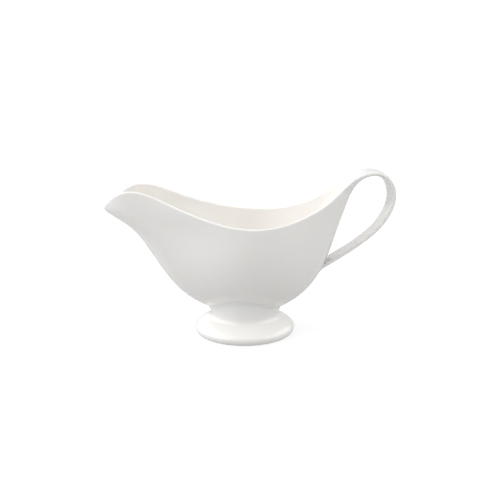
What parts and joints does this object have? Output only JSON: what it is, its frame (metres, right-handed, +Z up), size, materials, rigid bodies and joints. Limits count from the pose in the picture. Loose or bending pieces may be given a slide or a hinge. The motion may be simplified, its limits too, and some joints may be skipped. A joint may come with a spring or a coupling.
{
  "type": "gravy boat",
  "caption": "Footed china gravy boat with a swooping rim, a long open spout and a looped strap handle, on a hollow flared foot.",
  "frame": {"origin": "middle of the overall length and width, on the table", "axes": "+X towards the handle, the spout points along -X, +Z up"},
  "size_m": [0.216, 0.0966, 0.1239],
  "materials": {
    "bowl_glaze": "glossy",
    "foot_glaze": "glossy",
    "handle_glaze": "glossy",
    "slip": "matte"
  },
  "bodies": {
    "root": {"bowl": "bowl_glaze", "pedestal_foot": "foot_glaze", "strap_handle": "handle_glaze", "foot_luting_slip": "slip", "handle_top_luting_slip": "slip", "handle_tail_luting_slip": "slip"}
  },
  "joints": []
}
